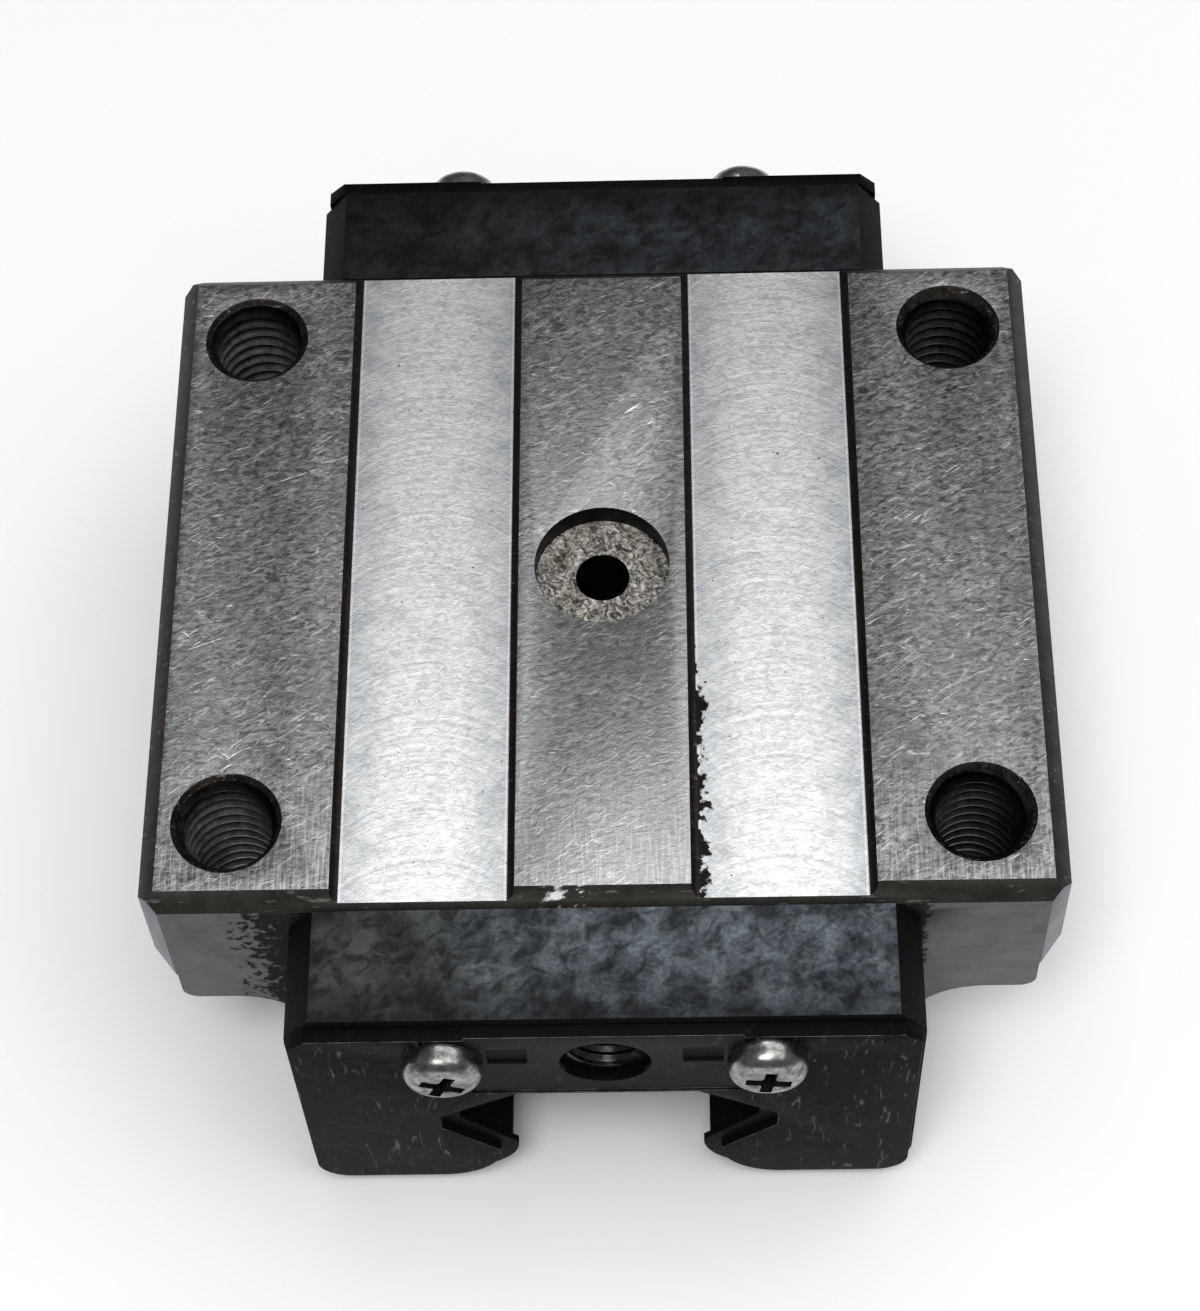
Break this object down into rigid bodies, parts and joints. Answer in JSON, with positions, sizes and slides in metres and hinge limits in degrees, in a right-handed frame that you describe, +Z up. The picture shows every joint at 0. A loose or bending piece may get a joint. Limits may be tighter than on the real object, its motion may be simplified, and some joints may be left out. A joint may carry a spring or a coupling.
{
  "type": "linear bearing block",
  "caption": "Flanged recirculating-ball carriage that runs along a profile rail, with tapped holes in its flanges for carrying a table.",
  "frame": {"origin": "centre of the block's underside, midway between the end seals", "axes": "+X across the rail, +Y along the travel, +Z up to the mounting face"},
  "size_m": [0.07, 0.0844, 0.0292],
  "materials": {
    "ground_steel": "ground pads, milled relief grooves, dark as-rolled chamfers",
    "moulded_plastic": "matte moulded black",
    "seal_rubber": "matte dark rubber, lightly scuffed",
    "screw_steel": "bright zinc-plated",
    "ball_steel": "polished bearing steel",
    "guide_plastic": "matte moulded"
  },
  "bodies": {
    "root": {"carriage_body": "ground_steel", "front_end_cap": "moulded_plastic", "front_end_seal": "seal_rubber", "front_left_cap_screw": "screw_steel", "front_upper_left_guide": "guide_plastic", "front_lower_left_guide": "guide_plastic", "front_right_cap_screw": "screw_steel", "front_upper_right_guide": "guide_plastic", "front_lower_right_guide": "guide_plastic", "rear_end_cap": "moulded_plastic", "rear_end_seal": "seal_rubber", "rear_left_cap_screw": "screw_steel", "rear_upper_left_guide": "guide_plastic", "rear_lower_left_guide": "guide_plastic", "rear_right_cap_screw": "screw_steel", "rear_upper_right_guide": "guide_plastic", "rear_lower_right_guide": "guide_plastic", "upper_left_balls": "ball_steel", "lower_left_balls": "ball_steel", "left_side_ball_retainer": "guide_plastic", "left_lower_ball_retainer": "guide_plastic", "upper_right_balls": "ball_steel", "lower_right_balls": "ball_steel", "right_side_ball_retainer": "guide_plastic", "right_lower_ball_retainer": "guide_plastic", "centre_ball_retainer": "guide_plastic"}
  },
  "joints": []
}
